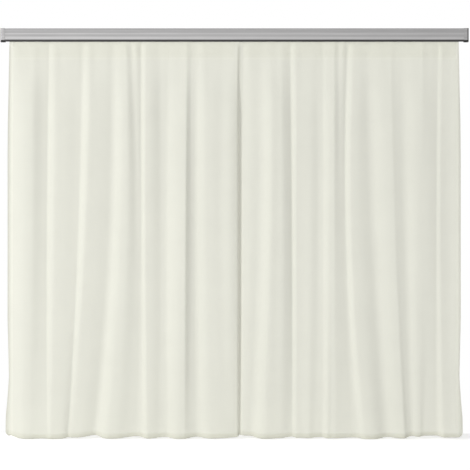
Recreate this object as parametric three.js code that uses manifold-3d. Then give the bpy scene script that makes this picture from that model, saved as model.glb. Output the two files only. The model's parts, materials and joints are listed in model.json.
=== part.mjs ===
// A pair of sheer curtains on an aluminium wall rail with a flat fascia.
// Millimetres. +X runs along the rail, -Y points into the room, +Z is up.
// The origin is on the wall, at the middle of the middle bracket's plate.

import * as THREE from "three";
import { mergeVertices } from "three/addons/utils/BufferGeometryUtils.js";
import Module from "manifold-3d";

// ---- Overall sizes
const RAIL_LENGTH = 2890; // over both end caps
const RAIL_HEIGHT = 82; // fascia and shadow lip together
const CURTAIN_DROP = 2450; // from the heading's top edge to the hem
const CAP_TO_CURTAIN = 56; // bare rail between the rail's end and the curtain's outer edge
const MEETING_X = 27; // where the two drawn curtains meet
const MEETING_GAP = 2; // between their leading edges
const FIT = 0.3; // between pieces that touch

// ---- Rail: a track that the gliders run in, behind a clipped-on fascia
const TRACK_FROM_WALL = 62; // the track's centre line
const TRACK_DEPTH = 36;
const TRACK_WALL = 1.6;
const TRACK_FLOOR = 3; // thickness of the ledges that the gliders run on
const LIP_HEIGHT = 10; // shadow lip that shows below the fascia
const SLOT_RISE = 12; // the slot's height above the lip's edge
const SLOT_WIDTH = 6.4;
const CHANNEL_WIDTH = 12;
const CHANNEL_HEIGHT = 13;
const GROOVE_SLOT = 12; // T-groove in the top that the clamp levers hold
const GROOVE_WIDTH = 20;
const GROOVE_HEIGHT = 4.6;
const GROOVE_LIP = 2;
const FASCIA_THICKNESS = 2;
const FASCIA_RETURN = 9; // depth of the fascia's top edge
const CLIP_FROM_FRONT = 3; // fascia clip groove, from the track's front
const CLIP_WIDTH = 2.4;
const CLIP_DEPTH = 2.5;
const SNAP_HEIGHT = 1.6; // fascia snap groove in the end of the front ledge
const SNAP_DEPTH = 2;

// ---- End caps
const CAP_LENGTH = 28;
const CAP_WALL = 1.2;
const CAP_END = 12; // solid end, as long as the rounded corner
const CAP_CORNER = 12;
const CAP_PLUG = 14; // how far the plug reaches into the track's chamber
const CAP_PLUG_WALL = 2;

// ---- Wall brackets and their clamp levers
const BRACKET_INSET = 240; // outer brackets' distance from the rail's ends
const PLATE_WIDTH = 44;
const PLATE_HEIGHT = 50;
const PLATE_THICKNESS = 3;
const ARM_WIDTH = 26;
const ARM_THICKNESS = 4;
const ARM_NOSE = 8; // arm beyond the lever's axis
const GUSSET_SIZE = 22;
const GUSSET_THICKNESS = 3;
const SCREW_HOLE_RADIUS = 2.6;
const SCREW_HOLE_SPACING = 28;
const LEVER_STEM_RADIUS = 4;
const LEVER_HUB_RADIUS = 7;
const LEVER_TAB_LENGTH = 24;
const LEVER_TAB_WIDTH = 8;
const LEVER_TAB_THICKNESS = 3;
const LEVER_HEAD_LENGTH = 18;
const LEVER_HEAD_WIDTH = 9;
const LEVER_HEAD_THICKNESS = 3.4;
const TAB_HEADROOM = 1.5; // between the lever's tab and the fascia's top edge

// ---- Gliders, each with its hook, and the end stops
const GLIDERS = 14; // moving gliders on each curtain, the leading one included
const STATIONS_PER_GLIDER = 3; // steps along the cloth between two hooks
const GLIDER_LENGTH = 14;
const GLIDER_HEIGHT = 6;
const GLIDER_CORNER = 2.5;
const NECK_LENGTH = 6;
const NECK_DROP = 4; // neck below the slot
const HOOK_WIDTH = 5;
const HOOK_THICKNESS = 2.4;
const HOOK_TIP_THICKNESS = 1.6;
const HOOK_MOUTH = 2; // between the hook's stem and its tip
const HOOK_BELOW_RAIL = 28; // lowest point of the hook below the lip's edge
const HOOK_TIP_RISE = 13;
const STOP_OUTBOARD = 13; // end stop's length towards the rail's end
const STOP_HEIGHT = 9;
const STOP_SCREW_RADIUS = 2;
const STOP_SCREW_OFFSET = 8;
const STOP_SCREW_HEAD = 1.5;

// ---- Cloth, heading tape, cords and weights
const CLOTH = 1; // thickness of the sheer
const HEADING_ABOVE_LIP = 5; // the heading's top edge is hidden behind the shadow lip
const TAPE_THICKNESS = 0.8;
const TAPE_TOP = 4; // below the heading's top edge
const TAPE_HEIGHT = 98;
const SIDE_HEM = 25;
const SIDE_HEM_THICKNESS = 2.1;
const BOTTOM_HEM = 25;
const WEIGHT_RADIUS = 1.8;
const DRAW_CORD_RADIUS = 0.9;
const DRAW_CORD_UPPER = 13; // below the heading's top edge
const DRAW_CORD_LOWER = 78;
const CORD_SIDES = 4;
const SCALLOP = 7; // how far the heading bows forward between two hooks
const FOLD_FRONT = 42; // folds reach this far in front of the hooks' plane
const FOLD_BACK = 20; // and creases this far behind it
const FOLDS_FORM = 260; // length over which the heading's scallops turn into folds

// Creases of each curtain at the heading, half way down and at the hem, as shares of its width from its
// outer edge, and how far the fold beyond each crease swells. The last fold ends at the leading edge.
const LEFT_CREASES = [
  { at: [0, 0, 0], swell: 0.8 },
  { at: [0.145, 0.139, 0.143], swell: 0.75 },
  { at: [0.32, 0.292, 0.253], swell: 0.7 },
  { at: [0.446, 0.425, 0.374], swell: 0.9 },
  { at: [0.551, 0.556, 0.569], swell: 0.95 },
  { at: [0.669, 0.67, 0.665], swell: 1 },
  { at: [0.804, 0.8, 0.8], swell: 0.9 },
  { at: [0.926, 0.93, 0.957], swell: 0.6 },
];
const RIGHT_CREASES = [
  { at: [0, 0, 0], swell: 0.6 },
  { at: [0.103, 0.105, 0.105], swell: 0.8 },
  { at: [0.271, 0.25, 0.226], swell: 0.9 },
  { at: [0.411, 0.39, 0.33], swell: 0.9 },
  { at: [0.524, 0.534, 0.497], swell: 0.85 },
  { at: [0.624, 0.633, 0.64], swell: 1 },
  { at: [0.783, 0.765, 0.767], swell: 0.95 },
  { at: [0.91, 0.908, 0.94], swell: 0.6 },
];

// ---- Heights, from the lip's edge upwards. The chamber takes what the rest of the rail leaves.
const armRise =
  RAIL_HEIGHT - FASCIA_THICKNESS - TAB_HEADROOM - LEVER_TAB_THICKNESS - FIT;
const railBottom = PLATE_HEIGHT / 2 - armRise;
const railTop = railBottom + RAIL_HEIGHT;
const armTop = railBottom + armRise;
const armUnder = armTop - ARM_THICKNESS;
const trackTop = armUnder - FIT;
const grooveRoof = trackTop - GROOVE_LIP;
const grooveFloor = grooveRoof - GROOVE_HEIGHT;
const chamberRoof = grooveFloor - TRACK_WALL;
const slotBottom = railBottom + SLOT_RISE;
const channelFloor = slotBottom + TRACK_FLOOR;
const channelRoof = channelFloor + CHANNEL_HEIGHT;
const chamberFloor = channelRoof + TRACK_WALL;
const headingTop = railBottom + HEADING_ABOVE_LIP;
const tapeTop = headingTop - TAPE_TOP;
const tapeBottom = tapeTop - TAPE_HEIGHT;
const hemBottom = headingTop - CURTAIN_DROP;
const hemTop = hemBottom + BOTTOM_HEM;

// ---- Depths
const trackY = -TRACK_FROM_WALL;
const trackFront = trackY - TRACK_DEPTH / 2;
const trackBack = trackY + TRACK_DEPTH / 2;
const fasciaBack = trackFront - FIT;
const fasciaFront = fasciaBack - FASCIA_THICKNESS;
const hookTipFront = trackY - HOOK_THICKNESS / 2 - HOOK_MOUTH - HOOK_TIP_THICKNESS;
const tapeMiddle = hookTipFront - FIT - TAPE_THICKNESS / 2;
const clothMiddle = tapeMiddle - TAPE_THICKNESS / 2 - FIT - CLOTH / 2;
const sideHemMiddle = hookTipFront - FIT - SIDE_HEM_THICKNESS / 2;
const drawCordY = hookTipFront + DRAW_CORD_RADIUS;

// ---- Places along the rail
const railEnd = RAIL_LENGTH / 2;
const profileEnd = railEnd - CAP_END - FIT;

const wasm = await Module();
wasm.setup();

// ---- Finishes
const finish = (color, roughness, metalness) =>
  new THREE.MeshStandardMaterial({ color, roughness, metalness });
const brushedAluminium = finish(0xb4b4b5, 0.42, 0.85);
const darkAnodised = finish(0x3a3a37, 0.5, 0.7);
const zincSteel = finish(0xa9abad, 0.4, 0.9);
const whiteNylon = finish(0xf1efe8, 0.45, 0);
const sheerCloth = finish(0xe6e6da, 0.9, 0);
const wovenTape = finish(0xf0efe6, 0.85, 0);
const cordYarn = finish(0xf2f0ea, 0.9, 0);
const leadYarn = finish(0xd9d8d0, 0.8, 0);

function named(name, geometry, material) {
  const mesh = new THREE.Mesh(geometry, material);
  mesh.name = name;
  return mesh;
}

// ---- Joining and cutting
function toSolid(geometry) {
  const bare = geometry.clone();
  bare.deleteAttribute("normal");
  bare.deleteAttribute("uv");
  const merged = mergeVertices(bare, 1e-3);
  return new wasm.Manifold(
    new wasm.Mesh({
      numProp: 3,
      vertProperties: merged.attributes.position.array,
      triVerts: new Uint32Array(merged.index.array),
    }),
  );
}

function toGeometry(solid) {
  const mesh = solid.getMesh();
  const geometry = new THREE.BufferGeometry();
  geometry.setAttribute("position", new THREE.BufferAttribute(mesh.vertProperties, 3));
  geometry.setIndex(new THREE.BufferAttribute(mesh.triVerts, 1));
  geometry.computeVertexNormals();
  return geometry;
}

function join(...geometries) {
  return toGeometry(geometries.map(toSolid).reduce((all, next) => all.add(next)));
}

function cut(geometry, ...tools) {
  return toGeometry(tools.map(toSolid).reduce((all, tool) => all.subtract(tool), toSolid(geometry)));
}

// ---- Simple solids
// A box between two corners.
function block([x0, y0, z0], [x1, y1, z1]) {
  return new THREE.BoxGeometry(x1 - x0, y1 - y0, z1 - z0).translate(
    (x0 + x1) / 2,
    (y0 + y1) / 2,
    (z0 + z1) / 2,
  );
}

// A vertical cylinder standing on a height.
function upright(radius, bottom, top, sides = 16) {
  return new THREE.CylinderGeometry(radius, radius, top - bottom, sides)
    .rotateX(Math.PI / 2)
    .translate(0, 0, (bottom + top) / 2);
}

const points = (list) => list.map(([a, b]) => new THREE.Vector2(a, b));

// A section drawn in (Y, Z), extruded along X from one place to another.
function along(section, from, to) {
  return new THREE.ExtrudeGeometry(section, { depth: to - from, bevelEnabled: false })
    .applyMatrix4(new THREE.Matrix4().set(0, 0, 1, 0, 1, 0, 0, 0, 0, 1, 0, 0, 0, 0, 0, 1))
    .translate(from, 0, 0);
}

// An outline drawn in (X, Y), extruded upwards.
function raised(outline, bottom, top) {
  return new THREE.ExtrudeGeometry(outline, {
    depth: top - bottom,
    bevelEnabled: false,
    curveSegments: 6,
  }).translate(0, 0, bottom);
}

// ---- The rail
const clipFront = trackFront + CLIP_FROM_FRONT;
const snapBottom = slotBottom + (TRACK_FLOOR - SNAP_HEIGHT) / 2;

function trackProfile() {
  const slot = SLOT_WIDTH / 2;
  const channel = CHANNEL_WIDTH / 2;
  const mouth = GROOVE_SLOT / 2;
  const groove = GROOVE_WIDTH / 2;
  const section = new THREE.Shape(
    points([
      [trackFront, railBottom],
      [trackFront + TRACK_WALL, railBottom],
      [trackFront + TRACK_WALL, slotBottom],
      [trackY - slot, slotBottom],
      [trackY - slot, channelFloor],
      [trackY - channel, channelFloor],
      [trackY - channel, channelRoof],
      [trackY + channel, channelRoof],
      [trackY + channel, channelFloor],
      [trackY + slot, channelFloor],
      [trackY + slot, slotBottom],
      [trackBack, slotBottom],
      [trackBack, trackTop],
      [trackY + mouth, trackTop],
      [trackY + mouth, grooveRoof],
      [trackY + groove, grooveRoof],
      [trackY + groove, grooveFloor],
      [trackY - groove, grooveFloor],
      [trackY - groove, grooveRoof],
      [trackY - mouth, grooveRoof],
      [trackY - mouth, trackTop],
      [clipFront + CLIP_WIDTH, trackTop],
      [clipFront + CLIP_WIDTH, trackTop - CLIP_DEPTH],
      [clipFront, trackTop - CLIP_DEPTH],
      [clipFront, trackTop],
      [trackFront, trackTop],
      [trackFront, snapBottom + SNAP_HEIGHT],
      [trackFront + SNAP_DEPTH, snapBottom + SNAP_HEIGHT],
      [trackFront + SNAP_DEPTH, snapBottom],
      [trackFront, snapBottom],
    ]),
  );
  const inside = TRACK_DEPTH / 2 - TRACK_WALL;
  const beside = channel + TRACK_WALL;
  const hollow = (from, bottom, to, top) =>
    block([-railEnd, trackY + from, bottom], [railEnd, trackY + to, top]);
  const profile = cut(
    along(section, -profileEnd, profileEnd),
    hollow(-inside, chamberFloor, inside, chamberRoof),
    hollow(-inside, channelFloor, -beside, channelRoof),
    hollow(beside, channelFloor, inside, channelRoof),
  );
  return named("track_profile", profile, darkAnodised);
}

function fasciaProfile() {
  const clipTop = trackTop + FIT + CLIP_WIDTH / 2;
  const section = new THREE.Shape(
    points([
      [fasciaFront, railBottom + LIP_HEIGHT],
      [fasciaBack, railBottom + LIP_HEIGHT],
      [fasciaBack, snapBottom + FIT],
      [trackFront + SNAP_DEPTH - FIT, snapBottom + FIT],
      [trackFront + SNAP_DEPTH - FIT, snapBottom + SNAP_HEIGHT - FIT],
      [fasciaBack, snapBottom + SNAP_HEIGHT - FIT],
      [fasciaBack, trackTop + FIT],
      [clipFront + FIT, trackTop + FIT],
      [clipFront + FIT, trackTop - CLIP_DEPTH + FIT],
      [clipFront + CLIP_WIDTH - FIT, trackTop - CLIP_DEPTH + FIT],
      [clipFront + CLIP_WIDTH - FIT, clipTop],
      [fasciaBack, clipTop],
      [fasciaBack, railTop - FASCIA_THICKNESS],
      [fasciaFront + FASCIA_RETURN, railTop - FASCIA_THICKNESS],
      [fasciaFront + FASCIA_RETURN, railTop],
      [fasciaFront, railTop],
    ]),
  );
  return named("fascia_profile", along(section, -profileEnd, profileEnd), brushedAluminium);
}

// The right-hand cap: a shell that wraps the rail's front, top and back, with a plug in the track's chamber.
function endCapShape() {
  const inner = railEnd - CAP_LENGTH;
  const front = fasciaFront - FIT - CAP_WALL;
  const back = trackBack + FIT + CAP_WALL;
  const outline = new THREE.Shape();
  outline.moveTo(inner, back);
  outline.lineTo(inner, front);
  outline.lineTo(railEnd - CAP_CORNER, front);
  outline.absarc(railEnd - CAP_CORNER, front + CAP_CORNER, CAP_CORNER, -Math.PI / 2, 0, false);
  outline.lineTo(railEnd, back);
  const shell = raised(outline, railBottom, railTop + FIT + CAP_WALL);
  const frontAndTop = block(
    [inner - 1, fasciaFront - FIT, railBottom - 1],
    [railEnd - CAP_END, trackBack + FIT, railTop + FIT],
  );
  const lipWindow = block(
    [inner - 1, front - 1, railBottom - 1],
    [railEnd - CAP_CORNER, fasciaFront - FIT + 1, railBottom + LIP_HEIGHT],
  );
  const inside = TRACK_DEPTH / 2 - TRACK_WALL - FIT;
  const plugRoot = railEnd - CAP_END - 1;
  const plug = block(
    [railEnd - CAP_END - CAP_PLUG, trackY - inside, chamberFloor + FIT],
    [plugRoot + 2, trackY + inside, chamberRoof - FIT],
  );
  const plugHollow = block(
    [railEnd - CAP_END - CAP_PLUG - 1, trackY - inside + CAP_PLUG_WALL, chamberFloor + FIT + CAP_PLUG_WALL],
    [plugRoot, trackY + inside - CAP_PLUG_WALL, chamberRoof - FIT - CAP_PLUG_WALL],
  );
  return join(cut(shell, frontAndTop, lipWindow), cut(plug, plugHollow));
}

function endCaps() {
  const shape = endCapShape();
  const right = named("right_end_cap", shape, brushedAluminium);
  const left = named("left_end_cap", shape, brushedAluminium);
  left.scale.x = -1;
  return [left, right];
}

// ---- Wall brackets, drawn about the lever's axis at x = 0
function bracketShape() {
  const half = PLATE_WIDTH / 2;
  const arm = ARM_WIDTH / 2;
  const plate = block([-half, -PLATE_THICKNESS, armTop - PLATE_HEIGHT], [half, 0, armTop]);
  const armBar = block([-arm, trackY - ARM_NOSE, armUnder], [arm, 0, armTop]);
  const gusset = along(
    new THREE.Shape(
      points([
        [0, armUnder - GUSSET_SIZE],
        [0, armTop],
        [-PLATE_THICKNESS - GUSSET_SIZE, armTop],
        [-PLATE_THICKNESS - GUSSET_SIZE, armUnder],
        [-PLATE_THICKNESS, armUnder - GUSSET_SIZE],
      ]),
    ),
    -GUSSET_THICKNESS / 2,
    GUSSET_THICKNESS / 2,
  );
  const hole = (x) =>
    new THREE.CylinderGeometry(SCREW_HOLE_RADIUS, SCREW_HOLE_RADIUS, 4 * PLATE_THICKNESS, 16).translate(
      x,
      -PLATE_THICKNESS / 2,
      armTop - PLATE_HEIGHT / 2,
    );
  const pivot = upright(LEVER_STEM_RADIUS + FIT, armUnder - 1, armTop + 1).translate(0, trackY, 0);
  return cut(
    join(plate, armBar, gusset),
    hole(-SCREW_HOLE_SPACING / 2),
    hole(SCREW_HOLE_SPACING / 2),
    pivot,
  );
}

// A lever whose long head locks under the groove's lips when its tab points along the rail.
function leverShape() {
  const headTop = grooveRoof - FIT;
  const headBottom = headTop - LEVER_HEAD_THICKNESS;
  const tabBottom = armTop + FIT;
  const tabTop = tabBottom + LEVER_TAB_THICKNESS;
  const stem = upright(LEVER_STEM_RADIUS, headBottom, tabTop);
  const hub = upright(LEVER_HUB_RADIUS, tabBottom, tabTop);
  const tab = block([0, -LEVER_TAB_WIDTH / 2, tabBottom], [LEVER_TAB_LENGTH, LEVER_TAB_WIDTH / 2, tabTop]);
  const round = upright(LEVER_HEAD_LENGTH / 2, headBottom, headTop);
  const flats = block(
    [-LEVER_HEAD_WIDTH / 2, -LEVER_HEAD_LENGTH, headBottom - 1],
    [LEVER_HEAD_WIDTH / 2, LEVER_HEAD_LENGTH, headTop + 1],
  );
  const head = toGeometry(toSolid(round).intersect(toSolid(flats)));
  return join(stem, hub, tab, head);
}

function brackets() {
  const bracket = bracketShape();
  const lever = leverShape();
  const places = { left: -railEnd + BRACKET_INSET, middle: 0, right: railEnd - BRACKET_INSET };
  return Object.entries(places).flatMap(([side, x]) => {
    const wall = named(`wall_bracket_${side}`, bracket, zincSteel);
    wall.position.x = x;
    const clamp = named(`clamp_lever_${side}`, lever, whiteNylon);
    clamp.position.set(x, trackY, 0);
    return [wall, clamp];
  });
}

// ---- Gliders, drawn about the track's centre line at x = 0
const channelFit = CHANNEL_WIDTH / 2 - FIT - 0.1;
const runnerBottom = channelFloor + FIT;
const hookBottom = railBottom - HOOK_BELOW_RAIL;

// A block with its upright corners cut off, between two places along the rail.
function runner(from, to, height) {
  const y = channelFit;
  const c = GLIDER_CORNER;
  const outline = new THREE.Shape(
    points([
      [from + c, -y],
      [to - c, -y],
      [to, -y + c],
      [to, y - c],
      [to - c, y],
      [from + c, y],
      [from, y - c],
      [from, -y + c],
    ]),
  );
  return raised(outline, runnerBottom, runnerBottom + height);
}

// The neck through the slot, and the hook whose tip goes up into the heading tape.
function neckAndHook() {
  const neckWidth = SLOT_WIDTH / 2 - FIT;
  const neckBottom = slotBottom - NECK_DROP;
  const neck = block(
    [-NECK_LENGTH / 2, -neckWidth, neckBottom],
    [NECK_LENGTH / 2, neckWidth, runnerBottom + 1],
  );
  const back = HOOK_THICKNESS / 2;
  const front = -back;
  const tipBack = front - HOOK_MOUTH;
  const tipFront = tipBack - HOOK_TIP_THICKNESS;
  const bend = (tipFront + back) / 2;
  const outer = (back - tipFront) / 2;
  const hook = new THREE.Shape();
  hook.moveTo(front, neckBottom + 1);
  hook.lineTo(front, hookBottom + outer);
  hook.lineTo(bend, hookBottom + outer - HOOK_MOUTH / 2);
  hook.lineTo(tipBack, hookBottom + outer);
  hook.lineTo(tipBack, hookBottom + HOOK_TIP_RISE);
  hook.lineTo(tipFront, hookBottom + HOOK_TIP_RISE - HOOK_TIP_THICKNESS);
  hook.lineTo(tipFront, hookBottom + outer);
  hook.lineTo(bend - outer * 0.7, hookBottom + outer * 0.3);
  hook.lineTo(bend, hookBottom);
  hook.lineTo(bend + outer * 0.7, hookBottom + outer * 0.3);
  hook.lineTo(back, hookBottom + outer);
  hook.lineTo(back, neckBottom + 1);
  return join(neck, along(hook, -HOOK_WIDTH / 2, HOOK_WIDTH / 2));
}

function gliderShape() {
  return join(runner(-GLIDER_LENGTH / 2, GLIDER_LENGTH / 2, GLIDER_HEIGHT), neckAndHook());
}

// The right-hand end stop: a longer block locked by a screw, carrying the curtain's outermost hook.
function stopShape() {
  const body = join(runner(-GLIDER_LENGTH / 2, STOP_OUTBOARD, STOP_HEIGHT), neckAndHook());
  const thread = upright(STOP_SCREW_RADIUS + FIT, runnerBottom - 1, runnerBottom + STOP_HEIGHT + 1, 12);
  return cut(body, thread.translate(STOP_SCREW_OFFSET, 0, 0));
}

function stopScrewShape() {
  const headTop = runnerBottom - FIT;
  const shank = upright(STOP_SCREW_RADIUS, headTop - 1, runnerBottom + STOP_HEIGHT - 1, 12);
  const head = upright(SLOT_WIDTH / 2 - FIT, headTop - STOP_SCREW_HEAD, headTop, 12);
  return join(shank, head).translate(STOP_SCREW_OFFSET, 0, 0);
}

const glider = gliderShape();
const stop = stopShape();
const stopScrew = stopScrewShape();

// ---- Cloth
const smooth = (a, b, value) => {
  const t = Math.min(1, Math.max(0, (value - a) / (b - a)));
  return t * t * (3 - 2 * t);
};

// The curve through a crease's three places, at a level from 0 at the heading to 1 at the hem.
function creaseAt({ at: [head, middle, hem] }, level) {
  return head + level * (4 * middle - 3 * head - hem) + 2 * level ** 2 * (head - 2 * middle + hem);
}

// Turns the diagonals of a box's front squares to those of its back, so that a folded sheet keeps its thickness.
function matchDiagonals({ groups, index }) {
  const { start, count } = groups[3];
  for (let i = start; i < start + count; i += 6) {
    index.setX(i + 2, index.getX(i + 4));
    index.setX(i + 3, index.getX(i));
  }
}

// One curtain. `side` is -1 for the left one and 1 for the right one.
function curtain(name, side, creases) {
  const outerEdge = side * (railEnd - CAP_TO_CURTAIN);
  const leadingEdge = MEETING_X + (side * MEETING_GAP) / 2;
  const width = Math.abs(outerEdge - leadingEdge);
  const outerHook = outerEdge - side * SIDE_HEM;
  const leadingHook = leadingEdge + side * SIDE_HEM;
  const pitch = (leadingHook - outerHook) / GLIDERS;
  const stations = GLIDERS * STATIONS_PER_GLIDER;

  // How far the cloth stands in front of the hooks' plane, at a place along the rail and a height.
  function forward(x, z) {
    const spans = (x - outerHook) / pitch;
    const onHeading = spans > 0 && spans < GLIDERS;
    const scallop = onHeading ? SCALLOP * Math.sin(Math.PI * spans) ** 2 : 0;
    const level = Math.min(1, Math.max(0, (headingTop - z) / CURTAIN_DROP));
    const share = Math.abs(x - outerEdge) / width;
    const places = creases.map((crease) => creaseAt(crease, level));
    const last = places.findLastIndex((place) => place <= share + 1e-9);
    const start = places[last];
    const end = last + 1 < places.length ? places[last + 1] : 1;
    const across = Math.min(1, Math.max(0, (share - start) / (end - start)));
    const fold = creases[last].swell * Math.sin(Math.PI * across ** 0.85);
    const folded = (FOLD_FRONT + FOLD_BACK) * fold - FOLD_BACK;
    const formed = smooth(0, FOLDS_FORM, tapeBottom - 5 - z);
    return scallop + (folded - scallop) * formed;
  }

  // Moves each vertex of a geometry forward with the folds.
  function fold(geometry) {
    const p = geometry.attributes.position;
    for (let i = 0; i < p.count; i++) {
      const z = p.getZ(i) < hemTop + BOTTOM_HEM ? hemBottom : p.getZ(i);
      p.setY(i, p.getY(i) - forward(p.getX(i), z));
    }
    return geometry;
  }

  // A strip of cloth that follows a path of [back, height] points down from its top edge.
  function strip(from, to, steps, middle, thickness, path) {
    const low = Math.min(from, to);
    const high = Math.max(from, to);
    const last = path.length - 1;
    const geometry = new THREE.BoxGeometry(1, 1, 1, steps, 1, last);
    matchDiagonals(geometry);
    const p = geometry.attributes.position;
    for (let i = 0; i < p.count; i++) {
      const j = Math.round((0.5 - p.getZ(i)) * last);
      const before = path[Math.max(0, j - 1)];
      const after = path[Math.min(last, j + 1)];
      const run = new THREE.Vector2(after[0] - before[0], after[1] - before[1]).normalize();
      const offset = p.getY(i) * thickness;
      p.setXYZ(
        i,
        low + (p.getX(i) + 0.5) * (high - low),
        middle + path[j][0] - run.y * offset,
        path[j][1] + run.x * offset,
      );
    }
    return fold(geometry);
  }

  const levels = [tapeBottom - 5, -260, -480, -900, -1400, -1900]
    .map((z, i) => (i ? headingTop + (z * CURTAIN_DROP) / 2450 : z))
    .concat(hemTop + BOTTOM_HEM - 0.1);
  const straight = [headingTop, ...levels].map((z) => [0, z]);
  const turnRadius = WEIGHT_RADIUS + FIT + CLOTH / 2;
  const turnZ = hemBottom + turnRadius + CLOTH / 2;
  const turn = [0, 0.25, 0.5, 0.75, 1].map((t) => [
    turnRadius * (1 - Math.cos(Math.PI * t)),
    turnZ - turnRadius * Math.sin(Math.PI * t),
  ]);
  const hemPath = [...straight, ...turn, [CLOTH + FIT, hemTop]];
  const fieldFrom = outerHook - (side * FIT) / 2;
  const fieldTo = leadingHook + (side * FIT) / 2;
  const field = strip(fieldFrom, fieldTo, stations, clothMiddle, CLOTH, hemPath);

  const hemLevels = [...straight, [0, hemBottom]];
  const hem = (edge, hook) =>
    strip(
      edge,
      hook + (FIT / 2) * Math.sign(edge - hook),
      2,
      sideHemMiddle,
      SIDE_HEM_THICKNESS,
      hemLevels,
    );

  const tape = strip(fieldFrom, fieldTo, stations, tapeMiddle, TAPE_THICKNESS, [
    [0, tapeTop],
    [0, tapeBottom],
  ]);

  // A cord along the curtain, folded with it.
  function cord(radius, y, z) {
    const length = Math.abs(fieldTo - fieldFrom);
    return fold(
      new THREE.CylinderGeometry(radius, radius, length, CORD_SIDES, stations)
        .rotateZ(Math.PI / 2)
        .translate((fieldFrom + fieldTo) / 2, y, z),
    );
  }

  const pieces = [
    named(`${name}_curtain`, field, sheerCloth),
    named(`${name}_outer_hem`, hem(outerEdge, outerHook), sheerCloth),
    named(`${name}_leading_hem`, hem(leadingEdge, leadingHook), sheerCloth),
    named(`${name}_heading_tape`, tape, wovenTape),
    named(`${name}_draw_cord_upper`, cord(DRAW_CORD_RADIUS, drawCordY, headingTop - DRAW_CORD_UPPER), cordYarn),
    named(`${name}_draw_cord_lower`, cord(DRAW_CORD_RADIUS, drawCordY, headingTop - DRAW_CORD_LOWER), cordYarn),
    named(`${name}_hem_weight`, cord(WEIGHT_RADIUS, clothMiddle + turnRadius, turnZ), leadYarn),
  ];

  const endStop = named(`${name}_end_stop`, stop, whiteNylon);
  const lockScrew = named(`${name}_stop_screw`, stopScrew, zincSteel);
  for (const piece of [endStop, lockScrew]) {
    piece.position.set(outerHook, trackY, 0);
    piece.scale.x = side;
    pieces.push(piece);
  }
  for (let i = 1; i <= GLIDERS; i++) {
    const number = String(i).padStart(2, "0");
    const runnerMesh = named(`${name}_glider_${number}`, glider, whiteNylon);
    runnerMesh.position.set(outerHook + i * pitch, trackY, 0);
    pieces.push(runnerMesh);
  }
  const group = new THREE.Group();
  group.add(...pieces);
  return group;
}

const curtains = new THREE.Group();
curtains.add(trackProfile(), fasciaProfile(), ...endCaps(), ...brackets());
curtains.add(curtain("left", -1, LEFT_CREASES), curtain("right", 1, RIGHT_CREASES));

export default curtains;
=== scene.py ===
import json
import math

import bmesh
import bpy
import numpy as np
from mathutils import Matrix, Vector


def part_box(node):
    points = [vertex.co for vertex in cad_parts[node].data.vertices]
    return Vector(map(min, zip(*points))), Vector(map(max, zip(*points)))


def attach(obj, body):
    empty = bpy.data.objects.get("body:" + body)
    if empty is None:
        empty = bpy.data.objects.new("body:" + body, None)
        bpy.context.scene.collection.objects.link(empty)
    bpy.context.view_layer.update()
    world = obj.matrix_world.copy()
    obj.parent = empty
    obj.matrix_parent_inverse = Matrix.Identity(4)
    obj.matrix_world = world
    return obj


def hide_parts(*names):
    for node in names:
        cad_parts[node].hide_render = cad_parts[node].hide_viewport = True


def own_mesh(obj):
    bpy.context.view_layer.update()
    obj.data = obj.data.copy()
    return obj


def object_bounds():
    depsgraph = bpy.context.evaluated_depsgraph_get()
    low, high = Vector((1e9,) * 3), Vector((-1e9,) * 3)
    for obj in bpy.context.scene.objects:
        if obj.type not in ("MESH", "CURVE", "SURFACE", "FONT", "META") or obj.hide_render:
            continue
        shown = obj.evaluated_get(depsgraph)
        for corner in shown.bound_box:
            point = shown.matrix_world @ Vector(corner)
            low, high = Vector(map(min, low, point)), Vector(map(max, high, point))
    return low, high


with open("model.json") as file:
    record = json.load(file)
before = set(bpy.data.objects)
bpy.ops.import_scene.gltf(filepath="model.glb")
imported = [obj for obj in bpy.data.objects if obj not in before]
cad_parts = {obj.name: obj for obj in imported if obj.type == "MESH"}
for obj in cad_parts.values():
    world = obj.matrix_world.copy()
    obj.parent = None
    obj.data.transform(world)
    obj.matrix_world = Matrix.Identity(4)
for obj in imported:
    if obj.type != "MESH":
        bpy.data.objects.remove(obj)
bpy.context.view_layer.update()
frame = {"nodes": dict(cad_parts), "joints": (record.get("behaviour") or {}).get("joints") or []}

nodes = frame["nodes"]
MM = 0.001

# ---------------------------------------------------------------- camera
# Straight in front, with a long lens. The picture is 470 wide, and the rail nearly fills it.
rail_left, rail_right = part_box("left_end_cap")[0].x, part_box("right_end_cap")[1].x
fascia_lo, fascia_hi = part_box("fascia_profile")
RAIL_SHARE = 0.9972  # of the picture's width
RAIL_TOP_SHARE = 0.0602  # the rail's top edge, from the picture's top
picture = (rail_right - rail_left) / RAIL_SHARE
cam_data = bpy.data.cameras.new("camera")
cam_data.lens, cam_data.sensor_width = 120, 36
camera = bpy.data.objects.new("camera", cam_data)
bpy.context.scene.collection.objects.link(camera)
distance = picture / 2 / (cam_data.sensor_width / 2 / cam_data.lens)
camera.location = (0.0028, fascia_lo.y - distance, fascia_hi.z - picture * (0.5 - RAIL_TOP_SHARE))
camera.rotation_euler = (math.pi / 2, 0, 0)
cam_data.clip_end = 100
bpy.context.scene.camera = camera


# ---------------------------------------------------------------- materials
def material(name, **sockets):
    """A material with one Principled shader, its plain values set on its own sockets."""
    mat = bpy.data.materials.new(name)
    mat.use_nodes = True
    shader = mat.node_tree.nodes["Principled BSDF"]
    for key, value in sockets.items():
        shader.inputs[key.replace("_", " ")].default_value = value
    return mat


def node(mat, kind, inputs=(), **settings):
    """A node of a material, with its settings, and its inputs as values or links."""
    made = mat.node_tree.nodes.new(kind)
    for key, value in settings.items():
        setattr(made, key, value)
    for key, value in dict(inputs).items():
        if isinstance(value, bpy.types.NodeSocket):
            mat.node_tree.links.new(value, made.inputs[key])
        else:
            made.inputs[key].default_value = value
    return made


def math_node(mat, operation, *values):
    return node(mat, "ShaderNodeMath", enumerate(values), operation=operation).outputs[0]


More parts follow.
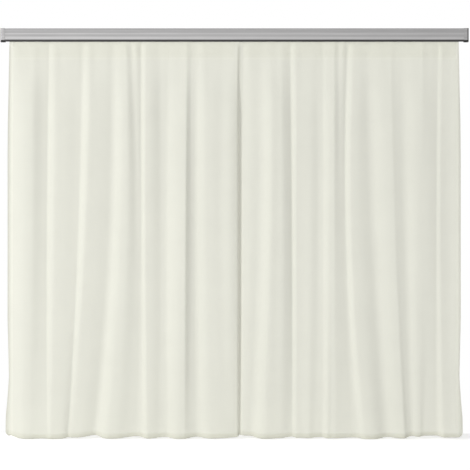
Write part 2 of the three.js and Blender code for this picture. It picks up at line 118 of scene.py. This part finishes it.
def ramp(mat, value, stops, mode="LINEAR"):
    """A colour ramp with stops of (place, grey or colour)."""
    made = node(mat, "ShaderNodeValToRGB", {"Fac": value})
    made.color_ramp.interpolation = mode
    while len(made.color_ramp.elements) < len(stops):
        made.color_ramp.elements.new(0.5)
    for element, (place, colour) in zip(made.color_ramp.elements, stops):
        element.position = place
        element.color = (*colour, 1) if isinstance(colour, tuple) else (colour, colour, colour, 1)
    return made.outputs["Color"]


def mixed(mat, fac, a, b, blend="MIX"):
    made = node(mat, "ShaderNodeMix", data_type="RGBA", blend_type=blend)
    for index, value in ((0, fac), (6, a), (7, b)):
        if isinstance(value, bpy.types.NodeSocket):
            mat.node_tree.links.new(value, made.inputs[index])
        else:
            made.inputs[index].default_value = value if index == 0 else (*value, 1)
    return made.outputs[2]


def noise(mat, scale, stretch=(1, 1, 1), detail=2.0, where="Object"):
    """A noise value, stretched along an axis by scaling the others."""
    place = node(mat, "ShaderNodeTexCoord").outputs[where]
    mapping = node(mat, "ShaderNodeMapping", {"Vector": place, "Scale": stretch})
    made = node(
        mat,
        "ShaderNodeTexNoise",
        {"Vector": mapping.outputs[0], "Scale": scale, "Detail": detail},
    )
    return made.outputs["Fac"]


def link(mat, output, key):
    mat.node_tree.links.new(output, mat.node_tree.nodes["Principled BSDF"].inputs[key])


def bump(mat, height, distance, strength=1.0):
    made = node(
        mat, "ShaderNodeBump", {"Height": height, "Distance": distance, "Strength": strength}
    )
    link(mat, made.outputs[0], "Normal")
    return made.outputs[0]


def brushed(name, dark, light, rough, metallic, along="x", painted_bands=None, painted_flank_shade=None):
    """Brushed metal: long fine streaks along the rail, in colour, roughness and relief.

    The bands by height are painted light and shade. The flank shade is painted shade: it darkens the faces
    that look along the rail, which glare in the key light.
    """
    mat = material(name, Metallic=metallic)
    stretch = (0.004, 1, 1) if along == "x" else (1, 1, 0.02)
    fine = noise(mat, 900, stretch, 3)
    broad = noise(mat, 130, stretch, 2)
    fine_share, broad_share = math_node(mat, "MULTIPLY", fine, 0.55), math_node(mat, "MULTIPLY", broad, 0.45)
    streaks = math_node(mat, "ADD", fine_share, broad_share)
    colour = ramp(mat, streaks, [(0.32, dark), (0.68, light)])
    # Painted light and shade by height, multiplied into the colour.
    if painted_bands:
        lo, hi, stops = painted_bands
        place = node(mat, "ShaderNodeTexCoord").outputs["Object"]
        z = node(mat, "ShaderNodeSeparateXYZ", {0: place}).outputs["Z"]
        up = node(mat, "ShaderNodeMapRange", {"Value": z, "From Min": lo, "From Max": hi}).outputs[0]
        colour = mixed(mat, 1.0, colour, ramp(mat, up, stops), "MULTIPLY")
    # Painted shade on the faces that look along the rail.
    if painted_flank_shade:
        facing = node(mat, "ShaderNodeTexCoord").outputs["Normal"]
        aside = math_node(mat, "ABSOLUTE", node(mat, "ShaderNodeSeparateXYZ", {0: facing}).outputs["X"])
        colour = mixed(mat, 1.0, colour, ramp(mat, aside, [(0.1, 1.0), (0.7, painted_flank_shade)]), "MULTIPLY")
    link(mat, colour, "Base Color")
    link(mat, ramp(mat, fine, [(0.3, rough - 0.08), (0.7, rough + 0.1)]), "Roughness")
    bump(mat, streaks, 0.0002, 0.4)
    return mat


ALU_DARK, ALU_LIGHT = (0.36, 0.355, 0.356), (0.50, 0.494, 0.495)
# Painted light and shade across the fascia from its lower edge: painted shade along the edge, a band of
# painted highlight, a plain one, a painted highlight line and a plain one. The CAD front is plain.
FASCIA_PAINTED_LIGHT = [
    (0.0, 0.5), (0.04, 0.6), (0.09, 1.16), (0.2, 1.18), (0.28, 1.04), (0.34, 0.92), (0.44, 0.92), (0.5, 1.14),
    (0.56, 1.14), (0.62, 0.92), (0.76, 0.96), (0.86, 0.94), (0.95, 0.88), (1.0, 0.88),
]
# Painted shade: the cap's foot is painted dark as high as the dark lip beside it, carrying the shade line
# under the rail across the cap.
CAP_FOOT_PAINTED_SHADE = [(0.0, 0.08), (0.999, 0.08), (1.0, 1.0)]
aluminium = brushed(
    "brushed_aluminium", ALU_DARK, ALU_LIGHT, 0.5, 0.4, painted_bands=(fascia_lo.z, fascia_hi.z, FASCIA_PAINTED_LIGHT)
)
cap_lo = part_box("left_end_cap")[0]
# The cap's metal carries painted shade: a dark band along its foot and darker flanks.
cap_metal = brushed(
    "cap_aluminium", ALU_DARK, ALU_LIGHT, 0.5, 0.5, painted_bands=(cap_lo.z, fascia_lo.z, CAP_FOOT_PAINTED_SHADE), painted_flank_shade=0.4
)
# Partly real, partly painted shade: the track is dark anodised, and its dark lip along the rail's lower edge
# stands in for the shade under the rail.
anodised_shade_lip = brushed("dark_anodised", (0.035, 0.034, 0.034), (0.06, 0.058, 0.058), 0.48, 0.6)
zinc = brushed("zinc_steel", (0.38, 0.385, 0.39), (0.55, 0.56, 0.57), 0.4, 0.9, along="z")

nylon = material("white_nylon")
cloudy = noise(nylon, 160, detail=4)
link(nylon, ramp(nylon, cloudy, [(0.3, (0.80, 0.78, 0.72)), (0.7, (0.88, 0.865, 0.81))]), "Base Color")
link(nylon, ramp(nylon, noise(nylon, 420, detail=3), [(0.3, 0.38), (0.7, 0.52)]), "Roughness")
bump(nylon, noise(nylon, 1400, detail=3), 0.0002, 0.25)


STITCH_HALF_WIDTH, STITCH_PITCH, STITCH_SHARE = 0.0006, 0.0042, 0.72


def woven(name, colour, thread, translucent, clear, stitches=(), painted_tones=()):
    """Plain-weave cloth on a UV map in metres: threads both ways, slubs, stitch lines at (axis, place), and
    painted light and shade down the cloth, as shares of TONED_DROP."""
    mat = material(name, Roughness=0.85, Sheen_Weight=0.15, Sheen_Roughness=0.5, Specular_IOR_Level=0.25)
    uv = node(mat, "ShaderNodeTexCoord").outputs["UV"]
    u = node(mat, "ShaderNodeSeparateXYZ", {0: uv}).outputs["X"]
    v = node(mat, "ShaderNodeSeparateXYZ", {0: uv}).outputs["Y"]
    warp = math_node(mat, "SINE", math_node(mat, "MULTIPLY", u, 2 * math.pi / thread))
    weft = math_node(mat, "SINE", math_node(mat, "MULTIPLY", v, 2 * math.pi / thread))
    weave = math_node(mat, "MULTIPLY", warp, weft)
    long_slubs = noise(mat, 260, (1, 0.02, 1), 2, "UV")
    cross_slubs = noise(mat, 260, (0.02, 1, 1), 2, "UV")
    slubs = math_node(mat, "MAXIMUM", long_slubs, cross_slubs)
    dark = tuple(c * 0.975 for c in colour)
    shade = mixed(mat, ramp(mat, slubs, [(0.5, 0.0), (0.8, 1.0)]), colour, dark)
    shade = mixed(mat, ramp(mat, noise(mat, 5, detail=2, where="UV"), [(0.35, 0), (0.65, 1)]),
                  shade, tuple(c * 1.012 for c in colour))
    # Painted light and shade down the cloth, multiplied into its colour.
    if painted_tones:
        down = math_node(mat, "DIVIDE", v, TONED_DROP)
        shade = mixed(mat, 1.0, shade, ramp(mat, down, painted_tones), "MULTIPLY")
    height = math_node(mat, "ADD", math_node(mat, "MULTIPLY", weave, 0.5), slubs)
    for axis, place in stitches:
        across, run = (u, v) if axis == "u" else (v, u)
        offset = math_node(mat, "ABSOLUTE", math_node(mat, "SUBTRACT", across, place))
        near = math_node(mat, "LESS_THAN", offset, STITCH_HALF_WIDTH)
        along = math_node(mat, "FRACT", math_node(mat, "DIVIDE", run, STITCH_PITCH))
        dash = math_node(mat, "LESS_THAN", along, STITCH_SHARE)
        stitch = math_node(mat, "MULTIPLY", near, dash)
        shade = mixed(mat, stitch, shade, tuple(c * 0.86 for c in colour))
        height = math_node(mat, "ADD", height, math_node(mat, "MULTIPLY", stitch, 1.5))
    link(mat, shade, "Base Color")
    normal = bump(mat, height, 0.00025, 0.35)
    tree = mat.node_tree
    glow = node(mat, "ShaderNodeBsdfTranslucent", {"Color": shade, "Normal": normal})
    through = node(mat, "ShaderNodeBsdfTransparent")
    body = node(mat, "ShaderNodeMixShader", {"Fac": translucent})
    tree.links.new(tree.nodes["Principled BSDF"].outputs[0], body.inputs[1])
    tree.links.new(glow.outputs[0], body.inputs[2])
    sheer = node(mat, "ShaderNodeMixShader", {"Fac": clear})
    tree.links.new(body.outputs[0], sheer.inputs[1])
    tree.links.new(through.outputs[0], sheer.inputs[2])
    tree.links.new(sheer.outputs[0], tree.nodes["Material Output"].inputs["Surface"])
    return mat


def dress(name, mat, width=0.0, segments=2):
    """A CAD node keeps its shape, gets its material, and may get rounded edges."""
    obj = nodes[name]
    obj.data.materials.clear()
    obj.data.materials.append(mat)
    if width:
        edges = obj.modifiers.new("edges", "BEVEL")
        edges.width, edges.segments, edges.limit_method = width, segments, "ANGLE"
        edges.angle_limit = math.radians(35)
    return obj


dress("fascia_profile", aluminium, 0.0006)
dress("track_profile", anodised_shade_lip, 0.0003)
for side in ("left", "right"):
    dress(f"{side}_end_cap", cap_metal, 0.0005)
    dress(f"{side}_end_stop", nylon, 0.0003)
    dress(f"{side}_stop_screw", zinc, 0.0002)
for side in ("left", "middle", "right"):
    dress(f"wall_bracket_{side}", zinc, 0.0005)
    dress(f"clamp_lever_{side}", nylon, 0.0005)
for name in nodes:
    if "_glider_" in name:
        dress(name, nylon, 0.0003)

# ---------------------------------------------------------------- cloth
CLOTH_COLOUR = (0.775, 0.775, 0.685)
TONED_DROP = 2.5
HEM = 0.025
HEM_LIFT = 0.009  # the hem's middle height above the CAD hem, so that its lobes can hang lower
LOBE, LOBE_SPREAD = 0.014, 0.018  # how far a lobe of the hem hangs, and how soon it gets there
HOOK_GAP = 0.0014  # from the hooks' tips to the cloth
ROWS_IN_HEADING = 16
COLUMNS = 260  # across a curtain between its side hems
HEM_COLUMNS = 6
BODY_ROWS = 92
HEM_ROWS = 5

# How each curtain is folded: the place at the heading, half way down and at the hem, in millimetres from the
# curtain's left edge, and the cloth's slope at each of the three. A rising slope turns the cloth to the left.
# All were read off plots of the photograph's brightness, so how deep a fold is stays a guess.
LEFT_FOLDS = [
    ((0, 0, 0), (-0.7, -0.5, -0.5)),
    ((16, 14, 14), (0.5, 0.65, 0.5)),
    ((60, 56, 60), (0.3, 0.5, 0.4)),
    ((132, 124, 112), (0.12, 0.15, 0.05)),
    ((173, 168, 148), (-0.35, -0.2, -0.1)),
    ((238, 230, 232), (-0.05, -0.05, 0.05)),
    ((256, 239, 242), (0.55, 0.85, 0.4)),
    ((306, 300, 268), (0.0, 0.05, -0.1)),
    ((390, 384, 316), (-0.1, -0.1, -0.2)),
    ((434, 420, 358), (-0.05, -0.05, -0.6)),
    ((472, 440, 372), (0.6, 0.75, 0.2)),
    ((520, 490, 398), (0.0, -0.05, -0.05)),
    ((612, 600, 506), (-0.1, -0.2, -0.35)),
    ((668, 656, 560), (0.45, 0.5, 0.5)),
    ((712, 712, 636), (0.1, 0.0, -0.05)),
    ((737, 762, 700), (-0.6, -0.4, -0.25)),
    ((768, 805, 770), (0.1, -0.15, -0.1)),
    ((806, 815, 806), (-0.45, -0.1, 0.15)),
    ((830, 831, 838), (0.75, 0.8, 0.55)),
    ((852, 852, 870), (0.05, 0.0, -0.15)),
    ((906, 924, 912), (-0.4, -0.35, -0.3)),
    ((960, 960, 960), (-0.05, -0.05, -0.05)),
    ((1008, 992, 998), (0.2, 0.45, 0.4)),
    ((1092, 1088, 1082), (0.1, 0.0, -0.15)),
    ((1114, 1102, 1098), (-0.4, -1.05, -0.45)),
    ((1142, 1136, 1134), (0.0, -0.35, -0.3)),
    ((1184, 1178, 1196), (0.45, 0.4, 0.25)),
    ((1234, 1240, 1270), (0.0, -0.1, -0.15)),
    ((1294, 1290, 1320), (-0.15, -0.2, -0.2)),
    ((1356, 1346, 1370), (0.0, 0.0, -0.2)),
    ((1406, 1412, 1408), (-0.2, -0.4, -0.2)),
    ((1424, 1424, 1424), (-1.0, -3.2, -1.4)),
]
RIGHT_FOLDS = [
    ((0, 0, 0), (-1.0, 0.5, 0.4)),
    ((9, 8, 8), (-0.5, 0.9, 0.5)),
    ((36, 32, 26), (0.35, 0.35, 0.2)),
    ((92, 98, 50), (0.1, 0.05, 0.05)),
    ((160, 166, 106), (0.4, 0.6, 0.5)),
    ((222, 216, 180), (0.0, 0.0, -0.05)),
    ((248, 252, 240), (0.0, 0.05, -0.05)),
    ((272, 296, 290), (-0.3, -0.4, -0.25)),
    ((306, 323, 318), (-0.3, -0.55, -0.1)),
    ((326, 336, 338), (0.5, 0.85, 0.45)),
    ((366, 360, 366), (0.0, 0.05, -0.05)),
    ((420, 420, 414), (-0.05, 0.05, 0.1)),
    ((464, 470, 446), (-0.15, -0.2, -0.25)),
    ((502, 506, 500), (-0.05, 0.1, -0.05)),
    ((532, 532, 532), (0.35, 0.5, 0.45)),
    ((564, 568, 558), (0.1, 0.1, -0.15)),
    ((580, 582, 576), (0.1, 0.05, 0.1)),
    ((600, 598, 614), (-0.6, -0.35, -0.15)),
    ((630, 640, 690), (0.05, -0.3, -0.1)),
    ((660, 656, 712), (-0.55, -0.2, 0.0)),
    ((686, 669, 755), (0.5, 0.75, 0.4)),
    ((728, 706, 798), (0.0, 0.0, -0.05)),
    ((762, 800, 874), (-0.25, -0.3, -0.5)),
    ((842, 868, 948), (0.2, 0.3, 0.15)),
    ((932, 956, 1014), (0.0, 0.0, -0.1)),
    ((948, 974, 1032), (-0.3, -0.35, -0.85)),
    ((980, 998, 1054), (-0.1, -0.3, -0.45)),
    ((1042, 1060, 1086), (0.15, 0.25, 0.2)),
    ((1124, 1120, 1110), (0.0, -0.05, -0.1)),
    ((1146, 1140, 1126), (-0.4, -0.1, -0.5)),
    ((1196, 1202, 1146), (-0.2, -0.2, -0.1)),
    ((1226, 1214, 1208), (-0.1, -0.25, -0.1)),
    ((1240, 1230, 1246), (0.45, 0.35, 0.4)),
    ((1264, 1252, 1276), (-0.05, -0.15, -0.1)),
    ((1344, 1346, 1346), (0.0, 0.1, 0.0)),
    ((1364, 1364, 1364), (-0.6, -0.4, -0.5)),
]
# How far each curtain's left and right edges stand in front of its middle plane, at the same three heights.
# The left curtain's leading edge laps over the right one's, which stands well behind it.
LEFT_EDGES = ((-0.012, -0.012, 0.012), (0.002, 0.008, 0.002))
RIGHT_EDGES = ((-0.016, -0.032, -0.020), (-0.008, -0.008, 0.012))
LAP = 0.002
# The outer edge swings out a little below the rail and again at the hem: (level, millimetres outwards).
SWING = [
    (0, 0), (0.12, 6), (0.2, 11), (0.3, 13), (0.7, 13), (0.78, 8), (0.85, 4), (0.91, 14), (0.95, 23), (1, 25),
]
HEM_CORNER = 0.035
# How much further in each curtain's outer edge hangs.
INSET = {"left": 0.0, "right": 0.006}


def smooth(a, b, value):
    t = np.clip((value - a) / (b - a), 0, 1)
    return t * t * (3 - 2 * t)


def through(places, level):
    """The curve through three places, at levels from 0 at the heading to 1 at the hem."""
    head, middle, hem = places
    return head + level * (4 * middle - 3 * head - hem) + 2 * level**2 * (head - 2 * middle + hem)


def averaged(line, half):
    """A line's running average over `half` places on each side."""
    window = np.ones(2 * half + 1) / (2 * half + 1)
    return np.convolve(np.pad(line, half, "edge"), window, "valid")


class Curtain:
    """One curtain: its measures from the CAD nodes, and its surface."""

    def __init__(self, side, folds, edges):
        self.side, self.sign = side, -1 if side == "left" else 1
        self.folds, self.edges = folds, edges
        lo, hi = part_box(f"{side}_curtain")
        outer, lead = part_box(f"{side}_outer_hem"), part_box(f"{side}_leading_hem")
        self.left_edge = min(outer[0].x, lead[0].x)
        self.right_edge = max(outer[1].x, lead[1].x)
        self.left_seam, self.right_seam = lo.x, hi.x
        self.scale = (self.right_edge - self.left_edge) / folds[-1][0][0]
        self.top, self.bottom = hi.z, lo.z + HEM_LIFT
        self.gliders = [n for n in sorted(nodes) if n.startswith(f"{side}_glider_")]
        # Front of the hooks' tips
        self.hook_y = min(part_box(n)[0].y for n in (f"{side}_end_stop", *self.gliders))
        self.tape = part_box(f"{side}_heading_tape")
        self.anchor = (self.left_seam if side == "left" else self.right_seam, 0, 0)
        draw = next(j for j in frame["joints"] if j["name"] == f"{side}_draw")
        self.travel = draw["range_m"][1]
        self.keep = 1 - self.travel / (self.right_seam - self.left_seam)
        self.half_wave, self.half_swell = (
            round(length / (self.right_edge - self.left_edge) * 2400) for length in (0.05, 0.22)
        )

    def section(self, z):
        """The cloth's line seen from above at a height: (x, forward) from the left edge to the right one."""
        level = (self.top - z) / (self.top - self.bottom)
        places = np.array([through(p, level) for p, _ in self.folds]) * self.scale + self.left_edge
        slopes = np.array([through(s, level) for _, s in self.folds])
        out = self.swing(level) - INSET[self.side]
        ends = (0, -1) if self.sign < 0 else (-1, 0)
        places[ends[0]] += self.sign * out
        places[ends[1]] += LAP if self.sign < 0 else -LAP / 2
        x = np.linspace(places[0], places[-1], 2400)
        i = np.clip(np.searchsorted(places, x, "right") - 1, 0, len(places) - 2)
        t = (x - places[i]) / (places[i + 1] - places[i])
        slope = slopes[i] + (slopes[i + 1] - slopes[i]) * t * t * (3 - 2 * t)
        below = self.top - z
        slope *= 0.6 + 0.36 * smooth(0.05, 0.5, below)
        fold = np.concatenate([[0], np.cumsum((slope[1:] + slope[:-1]) / 2 * np.diff(x))])
        start, end = (through(e, level) for e in self.edges)
        fold += start + (end - start - fold[-1]) * (x - x[0]) / (x[-1] - x[0])
        fold -= 0.75 * averaged(fold, self.half_swell)
        # Near the hooks only the short waves are left, and behind the lip the heading is nearly flat.
        broad = averaged(fold, self.half_wave)
        free = smooth(0.03, 0.45, below)
        depth = 0.3 + 0.7 * smooth(0.006, 0.05, below)
        forward = 0.007 + 0.005 * free + (fold - broad * (1 - free)) * depth
        return x, forward

    def swing(self, level):
        levels, out = zip(*SWING)
        rise = (1 - level) * (self.top - self.bottom)
        corner = max(0, HEM_CORNER - rise)
        rounding = (HEM_CORNER - math.sqrt(HEM_CORNER**2 - corner**2)) * 0.6
        return np.interp(level, levels, out) * MM - rounding

    def rows(self):
        """Heights of the cloth's rows, from the heading to the hem's lower edge."""
        heading = np.linspace(self.top, self.top - 0.14, ROWS_IN_HEADING, endpoint=False)
        body = np.linspace(self.top - 0.14, self.bottom + 0.03, BODY_ROWS, endpoint=False)
        hem = np.linspace(self.bottom + 0.03, self.bottom, HEM_ROWS)
        return np.concatenate([heading, body, hem])

    def surface(self):
        """Points of the whole curtain, row by row, and their places on the flat cloth."""
        points, flat = [], []
        for z in self.rows():
            x, forward = self.section(z)
            run = np.concatenate([[0], np.cumsum(np.hypot(np.diff(x), np.diff(forward)))])
            at = lambda place: np.interp(place, x, run)
            stops = [0, at(self.left_seam), at(self.right_seam), run[-1]]
            steps = [HEM_COLUMNS, COLUMNS, HEM_COLUMNS]
            parts = [np.linspace(a, b, n, endpoint=False) for a, b, n in zip(stops, stops[1:], steps)]
            s = np.concatenate([*parts, [run[-1]]])
            px, pf = np.interp(s, run, x), np.interp(s, run, forward)
            hang = LOBE * np.tanh((pf - 0.012) / LOBE_SPREAD) * smooth(self.bottom + 0.3, self.bottom, z)
            py = self.hook_y - HOOK_GAP - pf
            points.append(np.stack([px, py, z - hang], 1))
            flat.append(s)
        return np.array(points), np.array(flat)


def grid_mesh(name, points, uvs, mat):
    """A sheet from a grid of points, with a UV map in metres."""
    rows, columns = points.shape[:2]
    index = np.arange(rows * columns).reshape(rows, columns)
    quads = np.stack([index[1:, :-1], index[1:, 1:], index[:-1, 1:], index[:-1, :-1]], -1).reshape(-1, 4)
    mesh = bpy.data.meshes.new(name)
    mesh.from_pydata(points.reshape(-1, 3).tolist(), [], quads.tolist())
    layer = mesh.uv_layers.new(name="flat")
    flat = uvs.reshape(-1, 2)
    corner = np.zeros(len(mesh.loops), dtype=np.int64)
    mesh.loops.foreach_get("vertex_index", corner)
    layer.data.foreach_set("uv", flat[corner].ravel())
    mesh.polygons.foreach_set("use_smooth", [True] * len(mesh.polygons))
    mesh.materials.append(mat)
    obj = bpy.data.objects.new(name, mesh)
    bpy.context.scene.collection.objects.link(obj)
    return obj


def back_of(points, offset):
    moved = points.copy()
    moved[..., 1] += offset
    return moved


def tube(name, path, radius, mat, sides=8):
    """A round cord along a path that runs mainly along the rail."""
    angles = np.linspace(0, 2 * np.pi, sides, endpoint=False)
    ring = np.stack([np.zeros(sides), radius * np.cos(angles), radius * np.sin(angles)], 1)
    points = path[:, None, :] + ring[None]
    points = np.concatenate([points, points[:, :1]], 1)
    run = np.concatenate([[0], np.cumsum(np.linalg.norm(np.diff(path, axis=0), axis=1))])
    uvs = np.stack(np.meshgrid(np.linspace(0, 2 * np.pi * radius, sides + 1), run), -1)
    obj = grid_mesh(name, points, uvs, mat)
    bm = bmesh.new()
    bm.from_mesh(obj.data)
    bmesh.ops.remove_doubles(bm, verts=bm.verts, dist=1e-7)
    bmesh.ops.holes_fill(bm, edges=bm.edges)
    bmesh.ops.recalc_face_normals(bm, faces=bm.faces)
    bm.to_mesh(obj.data)
    bm.free()
    return obj


# Seams are sewn along the heading tape's edges, the bottom hem's top and the side hems' inner edges.
first_tape, first_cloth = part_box("left_heading_tape"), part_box("left_curtain")
cloth_top = first_cloth[1].z
ACROSS_SEAMS = [
    ("v", cloth_top - first_tape[1].z + 0.003),
    ("v", cloth_top - first_tape[0].z - 0.003),
    ("v", cloth_top - first_cloth[0].z - HEM - 0.006),
]
# Painted light and shade down the cloth, set for this light: painted light in the heading, most of all along
# its lower seam, and painted shade towards the hem, which evens out the light from the floor.
DOWN_PAINTED_LIGHT = [
    (0.0, 1.0), (0.003, 1.07), (0.037, 1.04), (0.0395, 1.065), (0.044, 1.06), (0.0475, 1.03),
    (0.2, 1.01), (0.6, 1.0), (0.8, 0.975), (1.0, 0.94),
]
sheer = woven("sheer_cloth", CLOTH_COLOUR, 0.0009, 0.35, 0.06, ACROSS_SEAMS, DOWN_PAINTED_LIGHT)
SIDE_SEAMS = [("u", 0.002), ("u", -0.002)]
hem_cloth = woven("hem_cloth", CLOTH_COLOUR, 0.0009, 0.3, 0.03, ACROSS_SEAMS + SIDE_SEAMS, DOWN_PAINTED_LIGHT)
tape_cloth = woven("woven_tape", (0.93, 0.93, 0.86), 0.0016, 0.7, 0.4)
cord_yarn = woven("cord_yarn", (0.86, 0.85, 0.80), 0.0012, 0.1, 0.0)
lead_yarn = woven("lead_yarn", (0.62, 0.61, 0.56), 0.0018, 0.1, 0.0)

for side, folds, edges in (("left", LEFT_FOLDS, LEFT_EDGES), ("right", RIGHT_FOLDS, RIGHT_EDGES)):
    c = Curtain(side, folds, edges)
    points, run = c.surface()
    rows = points.shape[0]
    drop = c.top - np.array([r[:, 2].mean() for r in points])
    a, b = HEM_COLUMNS, HEM_COLUMNS + COLUMNS
    uv, uv_from_left_seam, uv_from_right_seam = (
        np.stack([run - start, np.broadcast_to(drop[:, None], run.shape)], -1)
        for start in (0, run[:, a : a + 1], run[:, b : b + 1])
    )

    # The bottom hem: the same cloth turned up behind, round the weight.
    def with_hem(part, part_uv):
        low = part[-1]
        turned = [back_of(low, 0.0028) + (0, 0, 0.0004)]
        for k in range(HEM_ROWS - 1, -1, -1):
            up = part[-1 - (HEM_ROWS - 1 - k)]
            turned.append(back_of(up, 0.0034 if k > 1 else 0.0022) + (0, 0, 0.0008))
        extra = np.array(turned[:HEM_ROWS])
        step_down = np.arange(1, len(extra) + 1)[:, None] * 0.006
        across = np.zeros((len(extra), part_uv.shape[1]))
        uv_extra = part_uv[-1][None] + np.stack([across, across + step_down], -1)
        return np.concatenate([part, extra]), np.concatenate([part_uv, uv_extra])

    field_points, field_uv = with_hem(points[:, a:b + 1], uv[:, a:b + 1])
    field = grid_mesh(f"{side}_sheer", field_points, field_uv, sheer)
    first_hem = grid_mesh("hem_a", *with_hem(points[:, :a + 1], uv_from_left_seam[:, :a + 1]), hem_cloth)
    last_hem = grid_mesh("hem_b", *with_hem(points[:, b:], uv_from_right_seam[:, b:]), hem_cloth)
    outer_hem, lead_hem = (first_hem, last_hem) if side == "left" else (last_hem, first_hem)
    outer_hem.name, lead_hem.name = f"{side}_outer_edge", f"{side}_leading_edge"

    tape_low, tape_high = c.tape[0].z - 0.004, c.tape[1].z + 0.002
    heading = [i for i in range(rows) if tape_low <= points[i, :, 2].mean() <= tape_high]
    tape_points = back_of(points[heading][:, a:b + 1], 0.0011)
    tape = grid_mesh(f"{side}_tape", tape_points, uv[heading][:, a:b + 1], tape_cloth)

    cords = []
    for where in ("upper", "lower"):
        lo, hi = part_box(f"{side}_draw_cord_{where}")
        row = int(np.argmin(np.abs(points[:, :, 2].mean(1) - (lo.z + hi.z) / 2)))
        path = back_of(points[row, a:b + 1], 0.0011 + 0.0012)
        cords.append(tube(f"{side}_{where}_cord", path, 0.0009, cord_yarn))
    weight_path = back_of(points[-1, a:b + 1], 0.0014) + (0, 0, 0.0022)
    weight = tube(f"{side}_weight", weight_path, 0.0012, lead_yarn)

    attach(field, "rail")
    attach(outer_hem, "rail")
    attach(lead_hem, f"{side}_leader")
    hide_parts(f"{side}_curtain")
    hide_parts(f"{side}_outer_hem")
    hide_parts(f"{side}_leading_hem")
    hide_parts(f"{side}_heading_tape")
    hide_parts(f"{side}_draw_cord_upper")
    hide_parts(f"{side}_draw_cord_lower")
    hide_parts(f"{side}_hem_weight")
    for piece in (tape, *cords, weight):
        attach(piece, "rail")
    for piece in (field, tape, *cords, weight):
        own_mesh(piece)

# ---------------------------------------------------------------- floor, light
WORLD = 0.66
floor_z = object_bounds()[0].z - 0.004
bpy.ops.mesh.primitive_plane_add(size=1, location=(0, -2.4, floor_z))
floor = bpy.context.object
floor.name = "floor"
floor.scale = (14, 5.2, 1)
floor_paint = material(
    "floor_paint",
    Roughness=0.9,
    Base_Color=(0.95, 0.95, 0.95, 1),
    Emission_Color=(1, 1, 1, 1),
    Emission_Strength=0.3,
)
floor.data.materials.append(floor_paint)

world = bpy.data.worlds.new("studio")
bpy.context.scene.world = world
world.use_nodes = True
wt = world.node_tree
# The studio is bright on the left and darker on the right, with a black flag at its right-hand end.
STUDIO = [(0.0, 1.25), (0.25, 1.25), (0.5, 0.96), (0.8, 0.64), (0.9, 0.2), (1.0, 0.05)]
direction = wt.nodes.new("ShaderNodeTexCoord").outputs["Generated"]
split = wt.nodes.new("ShaderNodeSeparateXYZ")
wt.links.new(direction, split.inputs[0])
from_left = wt.nodes.new("ShaderNodeMapRange")
from_left.inputs["From Min"].default_value = -1
wt.links.new(split.outputs["X"], from_left.inputs["Value"])
levels = wt.nodes.new("ShaderNodeValToRGB")
while len(levels.color_ramp.elements) < len(STUDIO):
    levels.color_ramp.elements.new(0.5)
for element, (place, value) in zip(levels.color_ramp.elements, STUDIO):
    element.position, element.color = place, (value, value, value, 1)
wt.links.new(from_left.outputs[0], levels.inputs["Fac"])
back = wt.nodes["Background"]
wt.links.new(levels.outputs["Color"], back.inputs["Color"])
back.inputs["Strength"].default_value = WORLD
seen = wt.nodes.new("ShaderNodeBackground")
seen.inputs["Color"].default_value = (1, 1, 1, 1)
seen.inputs["Strength"].default_value = 1.0
path = wt.nodes.new("ShaderNodeLightPath")
pick = wt.nodes.new("ShaderNodeMixShader")
wt.links.new(path.outputs["Is Camera Ray"], pick.inputs[0])
wt.links.new(back.outputs[0], pick.inputs[1])
wt.links.new(seen.outputs[0], pick.inputs[2])
wt.links.new(pick.outputs[0], wt.nodes["World Output"].inputs["Surface"])


def area(name, place, target, size, power):
    light = bpy.data.lights.new(name, "AREA")
    light.shape, light.size, light.size_y = "RECTANGLE", *size
    light.energy = power
    obj = bpy.data.objects.new(name, light)
    obj.location = place
    obj.rotation_euler = (Vector(target) - Vector(place)).to_track_quat("-Z", "Y").to_euler()
    bpy.context.scene.collection.objects.link(obj)
    return obj


middle = (0, -0.08, -1.2)
area("key", (-12.0, -9.84, 4.0), middle, (4.0, 6.0), 1620)
bpy.context.scene.view_settings.view_transform = "Standard"
